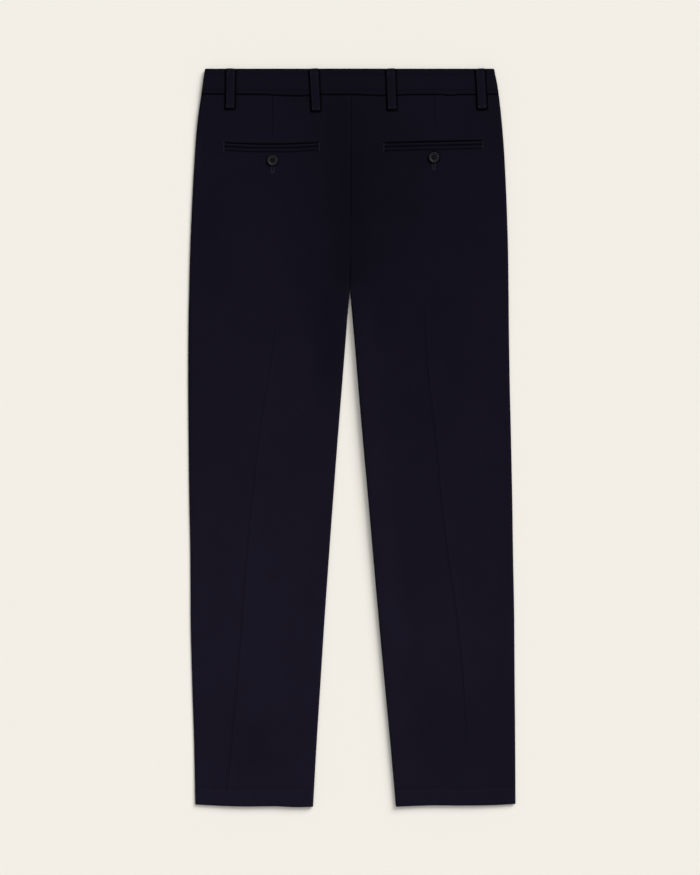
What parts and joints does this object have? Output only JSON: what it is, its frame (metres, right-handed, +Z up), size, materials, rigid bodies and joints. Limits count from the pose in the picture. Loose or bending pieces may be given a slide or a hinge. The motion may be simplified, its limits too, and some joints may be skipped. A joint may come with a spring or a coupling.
{
  "type": "chino trousers",
  "caption": "Straight chino trousers laid flat with the back up: welt pockets closed by buttons, darts, belt loops, a pressed crease down each leg and plain hems.",
  "frame": {"origin": "on the surface that the garment lies on, under the middle of its outline", "axes": "+Z up from that surface, +Y from the hems to the waistband, -X towards the wearer's left"},
  "size_m": [0.4817, 1.0861, 0.0102],
  "materials": {
    "twill": "very dark navy cotton twill, matt",
    "buttons": "dark grey horn effect, satin",
    "zip_tape": "woven tape with a nylon chain, dark"
  },
  "bodies": {
    "root": {"waistband": "twill", "zip": "zip_tape", "waist_button": "buttons", "back_left": "twill", "front_left": "twill", "front_pocket_facing_left": "twill", "back_pocket_upper_welt_left": "twill", "back_pocket_lower_welt_left": "twill", "back_pocket_button_left": "buttons", "back_right": "twill", "front_right": "twill", "front_pocket_facing_right": "twill", "back_pocket_upper_welt_right": "twill", "back_pocket_lower_welt_right": "twill", "back_pocket_button_right": "buttons", "belt_loop_back_outer_left": "twill", "belt_loop_back_inner_left": "twill", "belt_loop_back_inner_right": "twill", "belt_loop_back_outer_right": "twill", "belt_loop_front_left": "twill", "belt_loop_front_right": "twill"}
  },
  "joints": []
}
